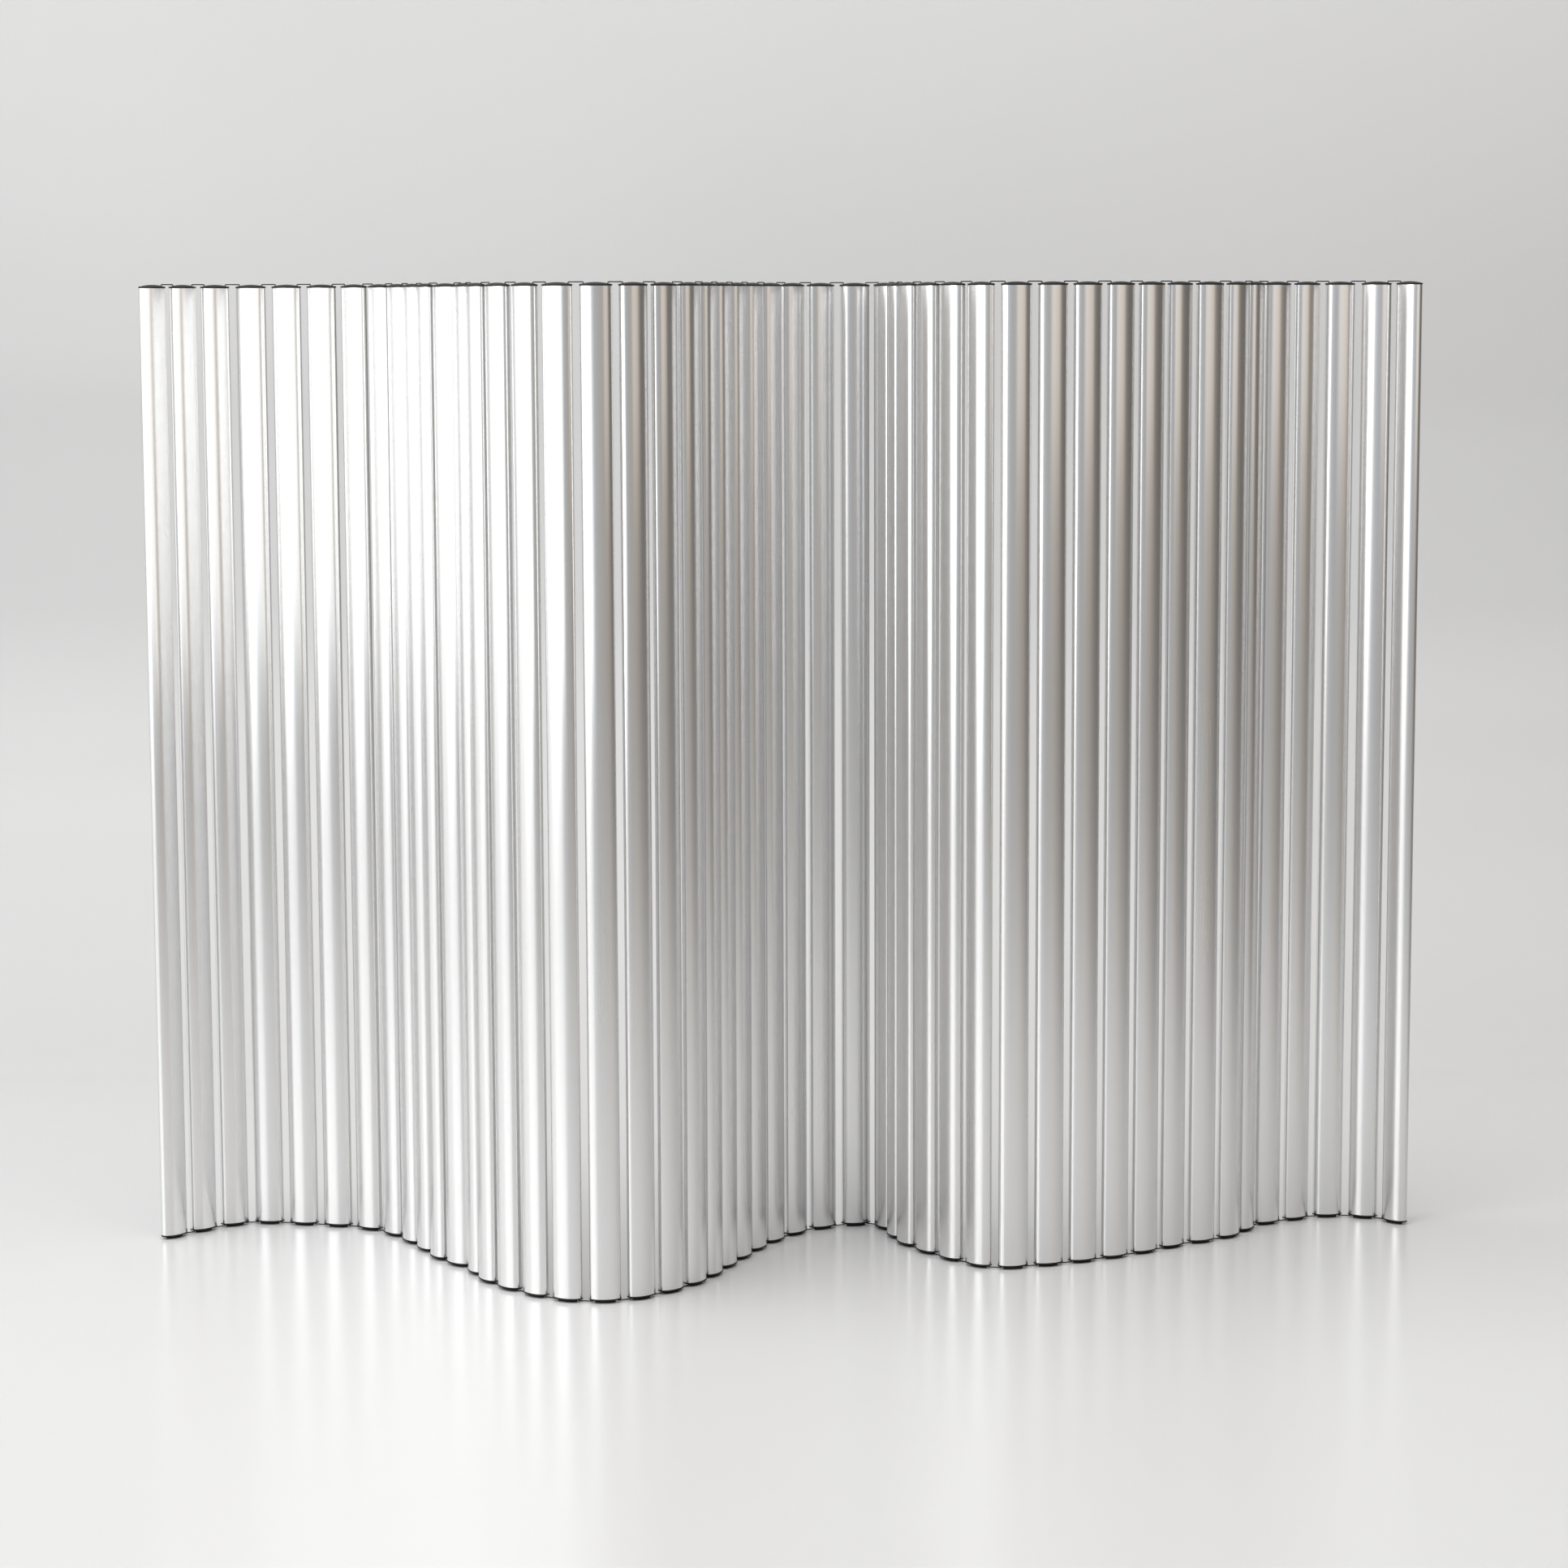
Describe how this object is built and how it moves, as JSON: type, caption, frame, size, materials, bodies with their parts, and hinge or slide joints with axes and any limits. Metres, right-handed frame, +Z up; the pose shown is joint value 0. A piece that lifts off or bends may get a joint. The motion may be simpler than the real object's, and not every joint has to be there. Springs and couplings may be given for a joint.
{
  "type": "folding screen",
  "caption": "Free-standing roll-up room divider: upright elliptical aluminium tubes joined top and foot by small black wire links, standing in soft curves.",
  "frame": {"origin": "on the floor, at the middle of the box round the screen as it stands", "axes": "+Z up, +X along the row from slat 1 to slat 49, +Y away from the picture's viewpoint"},
  "size_m": [2.118, 0.5856, 1.6],
  "materials": {
    "anodised_aluminium": "satin anodised",
    "black_plastic": "moulded, semi-matt",
    "black_wire": "black coated"
  },
  "bodies": {
    "slat_01": {"slat_01_foot_cap": "black_plastic", "slat_01_top_cap": "black_plastic", "slat_01_tube": "anodised_aluminium"},
    "slat_02": {"slat_02": "anodised_aluminium"},
    "slat_03": {"slat_03": "anodised_aluminium"},
    "slat_04": {"slat_04": "anodised_aluminium"},
    "slat_05": {"slat_05": "anodised_aluminium"},
    "slat_06": {"slat_06": "anodised_aluminium"},
    "slat_07": {"slat_07": "anodised_aluminium"},
    "slat_08": {"slat_08": "anodised_aluminium"},
    "slat_09": {"slat_09": "anodised_aluminium"},
    "slat_10": {"slat_10": "anodised_aluminium"},
    "slat_11": {"slat_11": "anodised_aluminium"},
    "slat_12": {"slat_12": "anodised_aluminium"},
    "slat_13": {"slat_13": "anodised_aluminium"},
    "slat_14": {"slat_14": "anodised_aluminium"},
    "slat_15": {"slat_15": "anodised_aluminium"},
    "slat_16": {"slat_16": "anodised_aluminium"},
    "slat_17": {"slat_17": "anodised_aluminium"},
    "slat_18": {"slat_18": "anodised_aluminium"},
    "slat_19": {"slat_19": "anodised_aluminium"},
    "slat_20": {"slat_20": "anodised_aluminium"},
    "slat_21": {"slat_21": "anodised_aluminium"},
    "slat_22": {"slat_22": "anodised_aluminium"},
    "slat_23": {"slat_23": "anodised_aluminium"},
    "slat_24": {"slat_24": "anodised_aluminium"},
    "slat_25": {"slat_25_foot_cap": "black_plastic", "slat_25_foot_links": "black_wire", "slat_25_top_cap": "black_plastic", "slat_25_top_links": "black_wire", "slat_25_tube": "anodised_aluminium"},
    "slat_26": {"slat_26": "anodised_aluminium"},
    "slat_27": {"slat_27": "anodised_aluminium"},
    "slat_28": {"slat_28": "anodised_aluminium"},
    "slat_29": {"slat_29": "anodised_aluminium"},
    "slat_30": {"slat_30": "anodised_aluminium"},
    "slat_31": {"slat_31": "anodised_aluminium"},
    "slat_32": {"slat_32": "anodised_aluminium"},
    "slat_33": {"slat_33": "anodised_aluminium"},
    "slat_34": {"slat_34": "anodised_aluminium"},
    "slat_35": {"slat_35": "anodised_aluminium"},
    "slat_36": {"slat_36": "anodised_aluminium"},
    "slat_37": {"slat_37": "anodised_aluminium"},
    "slat_38": {"slat_38": "anodised_aluminium"},
    "slat_39": {"slat_39": "anodised_aluminium"},
    "slat_40": {"slat_40": "anodised_aluminium"},
    "slat_41": {"slat_41": "anodised_aluminium"},
    "slat_42": {"slat_42": "anodised_aluminium"},
    "slat_43": {"slat_43": "anodised_aluminium"},
    "slat_44": {"slat_44": "anodised_aluminium"},
    "slat_45": {"slat_45": "anodised_aluminium"},
    "slat_46": {"slat_46": "anodised_aluminium"},
    "slat_47": {"slat_47": "anodised_aluminium"},
    "slat_48": {"slat_48": "anodised_aluminium"},
    "slat_49": {"slat_49_foot_cap": "black_plastic", "slat_49_top_cap": "black_plastic", "slat_49_tube": "anodised_aluminium"}
  },
  "joints": [
    {"name": "hinge_01", "type": "hinge", "parent": "slat_02", "child": "slat_01", "pos_m": [-1.02576, 0.1716, 0.8], "axis": [0, 0, -1], "range_deg": [-77, 83]},
    {"name": "hinge_02", "type": "hinge", "parent": "slat_03", "child": "slat_02", "pos_m": [-0.98212, 0.21507, 0.8], "axis": [0, 0, 1], "range_deg": [-91, 69]},
    {"name": "hinge_03", "type": "hinge", "parent": "slat_04", "child": "slat_03", "pos_m": [-0.93197, 0.25073, 0.8], "axis": [0, 0, -1], "range_deg": [-40, 120]},
    {"name": "hinge_04", "type": "hinge", "parent": "slat_05", "child": "slat_04", "pos_m": [-0.87127, 0.2518, 0.8], "axis": [0, 0, 1], "range_deg": [-86, 74]},
    {"name": "hinge_05", "type": "hinge", "parent": "slat_06", "child": "slat_05", "pos_m": [-0.81093, 0.23948, 0.8], "axis": [0, 0, -1], "range_deg": [-80, 80]},
    {"name": "hinge_06", "type": "hinge", "parent": "slat_07", "child": "slat_06", "pos_m": [-0.75084, 0.22593, 0.8], "axis": [0, 0, 1], "range_deg": [-99, 61]},
    {"name": "hinge_07", "type": "hinge", "parent": "slat_08", "child": "slat_07", "pos_m": [-0.69665, 0.19708, 0.8], "axis": [0, 0, -1], "range_deg": [-61, 99]},
    {"name": "hinge_08", "type": "hinge", "parent": "slat_09", "child": "slat_08", "pos_m": [-0.6548, 0.15215, 0.8], "axis": [0, 0, 1], "range_deg": [-89, 71]},
    {"name": "hinge_09", "type": "hinge", "parent": "slat_10", "child": "slat_09", "pos_m": [-0.62214, 0.09997, 0.8], "axis": [0, 0, -1], "range_deg": [-77, 83]},
    {"name": "hinge_10", "type": "hinge", "parent": "slat_11", "child": "slat_10", "pos_m": [-0.59334, 0.04552, 0.8], "axis": [0, 0, 1], "range_deg": [-83, 77]},
    {"name": "hinge_11", "type": "hinge", "parent": "slat_12", "child": "slat_11", "pos_m": [-0.56743, -0.01035, 0.8], "axis": [0, 0, -1], "range_deg": [-106, 54]},
    {"name": "hinge_12", "type": "hinge", "parent": "slat_13", "child": "slat_12", "pos_m": [-0.52392, -0.05343, 0.8], "axis": [0, 0, 1], "range_deg": [-114, 46]},
    {"name": "hinge_13", "type": "hinge", "parent": "slat_14", "child": "slat_13", "pos_m": [-0.50024, -0.1096, 0.8], "axis": [0, 0, -1], "range_deg": [-94, 66]},
    {"name": "hinge_14", "type": "hinge", "parent": "slat_15", "child": "slat_14", "pos_m": [-0.47176, -0.1641, 0.8], "axis": [0, 0, 1], "range_deg": [-66, 94]},
    {"name": "hinge_15", "type": "hinge", "parent": "slat_16", "child": "slat_15", "pos_m": [-0.43094, -0.21009, 0.8], "axis": [0, 0, -1], "range_deg": [-85, 75]},
    {"name": "hinge_16", "type": "hinge", "parent": "slat_17", "child": "slat_16", "pos_m": [-0.38493, -0.25103, 0.8], "axis": [0, 0, 1], "range_deg": [-61, 99]},
    {"name": "hinge_17", "type": "hinge", "parent": "slat_18", "child": "slat_17", "pos_m": [-0.32945, -0.27733, 0.8], "axis": [0, 0, -1], "range_deg": [-109, 51]},
    {"name": "hinge_18", "type": "hinge", "parent": "slat_19", "child": "slat_18", "pos_m": [-0.26835, -0.27551, 0.8], "axis": [0, 0, 1], "range_deg": [-51, 109]},
    {"name": "hinge_19", "type": "hinge", "parent": "slat_20", "child": "slat_19", "pos_m": [-0.21578, -0.2443, 0.8], "axis": [0, 0, -1], "range_deg": [-91, 69]},
    {"name": "hinge_20", "type": "hinge", "parent": "slat_21", "child": "slat_20", "pos_m": [-0.17241, -0.20065, 0.8], "axis": [0, 0, 1], "range_deg": [-69, 91]},
    {"name": "hinge_21", "type": "hinge", "parent": "slat_22", "child": "slat_21", "pos_m": [-0.13815, -0.14954, 0.8], "axis": [0, 0, -1], "range_deg": [-91, 69]},
    {"name": "hinge_22", "type": "hinge", "parent": "slat_23", "child": "slat_22", "pos_m": [-0.11428, -0.09282, 0.8], "axis": [0, 0, 1], "range_deg": [-81, 79]},
    {"name": "hinge_23", "type": "hinge", "parent": "slat_24", "child": "slat_23", "pos_m": [-0.0917, -0.03551, 0.8], "axis": [0, 0, -1], "range_deg": [-79, 81]},
    {"name": "hinge_24", "type": "hinge", "parent": "slat_25", "child": "slat_24", "pos_m": [-0.06812, 0.0214, 0.8], "axis": [0, 0, 1], "range_deg": [-81, 79]},
    {"name": "hinge_25", "type": "hinge", "parent": "slat_25", "child": "slat_26", "pos_m": [-0.03249, 0.09896, 0.8], "axis": [0, 0, 1], "range_deg": [-72, 88]},
    {"name": "hinge_26", "type": "hinge", "parent": "slat_26", "child": "slat_27", "pos_m": [0.00126, 0.15045, 0.8], "axis": [0, 0, -1], "range_deg": [-88, 72]},
    {"name": "hinge_27", "type": "hinge", "parent": "slat_27", "child": "slat_28", "pos_m": [0.04342, 0.19508, 0.8], "axis": [0, 0, 1], "range_deg": [-61, 99]},
    {"name": "hinge_28", "type": "hinge", "parent": "slat_28", "child": "slat_29", "pos_m": [0.09782, 0.22356, 0.8], "axis": [0, 0, -1], "range_deg": [-99, 61]},
    {"name": "hinge_29", "type": "hinge", "parent": "slat_29", "child": "slat_30", "pos_m": [0.1562, 0.22129, 0.8], "axis": [0, 0, 1], "range_deg": [-4, 150]},
    {"name": "hinge_30", "type": "hinge", "parent": "slat_30", "child": "slat_31", "pos_m": [0.17983, 0.16462, 0.8], "axis": [0, 0, -1], "range_deg": [-99, 61]},
    {"name": "hinge_31", "type": "hinge", "parent": "slat_31", "child": "slat_32", "pos_m": [0.19171, 0.1044, 0.8], "axis": [0, 0, 1], "range_deg": [-100, 60]},
    {"name": "hinge_32", "type": "hinge", "parent": "slat_32", "child": "slat_33", "pos_m": [0.22123, 0.05037, 0.8], "axis": [0, 0, -1], "range_deg": [-73, 87]},
    {"name": "hinge_33", "type": "hinge", "parent": "slat_33", "child": "slat_34", "pos_m": [0.25712, 0.00034, 0.8], "axis": [0, 0, 1], "range_deg": [-87, 73]},
    {"name": "hinge_34", "type": "hinge", "parent": "slat_34", "child": "slat_35", "pos_m": [0.29884, -0.04495, 0.8], "axis": [0, 0, -1], "range_deg": [-73, 87]},
    {"name": "hinge_35", "type": "hinge", "parent": "slat_35", "child": "slat_36", "pos_m": [0.35018, -0.07573, 0.8], "axis": [0, 0, 1], "range_deg": [-136, 24]},
    {"name": "hinge_36", "type": "hinge", "parent": "slat_36", "child": "slat_37", "pos_m": [0.40959, -0.05952, 0.8], "axis": [0, 0, -1], "range_deg": [-75, 85]},
    {"name": "hinge_37", "type": "hinge", "parent": "slat_37", "child": "slat_38", "pos_m": [0.46737, -0.03818, 0.8], "axis": [0, 0, 1], "range_deg": [-85, 75]},
    {"name": "hinge_38", "type": "hinge", "parent": "slat_38", "child": "slat_39", "pos_m": [0.52306, -0.0119, 0.8], "axis": [0, 0, -1], "range_deg": [-75, 85]},
    {"name": "hinge_39", "type": "hinge", "parent": "slat_39", "child": "slat_40", "pos_m": [0.57625, 0.01914, 0.8], "axis": [0, 0, 1], "range_deg": [-85, 75]},
    {"name": "hinge_40", "type": "hinge", "parent": "slat_40", "child": "slat_41", "pos_m": [0.62654, 0.0547, 0.8], "axis": [0, 0, -1], "range_deg": [-75, 85]},
    {"name": "hinge_41", "type": "hinge", "parent": "slat_41", "child": "slat_42", "pos_m": [0.67591, 0.09136, 0.8], "axis": [0, 0, 1], "range_deg": [-66, 94]},
    {"name": "hinge_42", "type": "hinge", "parent": "slat_42", "child": "slat_43", "pos_m": [0.72951, 0.12126, 0.8], "axis": [0, 0, -1], "range_deg": [-60, 100]},
    {"name": "hinge_43", "type": "hinge", "parent": "slat_43", "child": "slat_44", "pos_m": [0.76964, 0.1677, 0.8], "axis": [0, 0, 1], "range_deg": [-100, 60]},
    {"name": "hinge_44", "type": "hinge", "parent": "slat_44", "child": "slat_45", "pos_m": [0.80188, 0.21925, 0.8], "axis": [0, 0, -1], "range_deg": [-118, 42]},
    {"name": "hinge_45", "type": "hinge", "parent": "slat_45", "child": "slat_46", "pos_m": [0.85612, 0.24841, 0.8], "axis": [0, 0, 1], "range_deg": [-85, 75]},
    {"name": "hinge_46", "type": "hinge", "parent": "slat_46", "child": "slat_47", "pos_m": [0.9106, 0.27628, 0.8], "axis": [0, 0, -1], "range_deg": [-107, 53]},
    {"name": "hinge_47", "type": "hinge", "parent": "slat_47", "child": "slat_48", "pos_m": [0.9718, 0.27638, 0.8], "axis": [0, 0, 1], "range_deg": [-53, 107]},
    {"name": "hinge_48", "type": "hinge", "parent": "slat_48", "child": "slat_49", "pos_m": [1.02637, 0.24868, 0.8], "axis": [0, 0, -1], "range_deg": [-107, 53]}
  ]
}
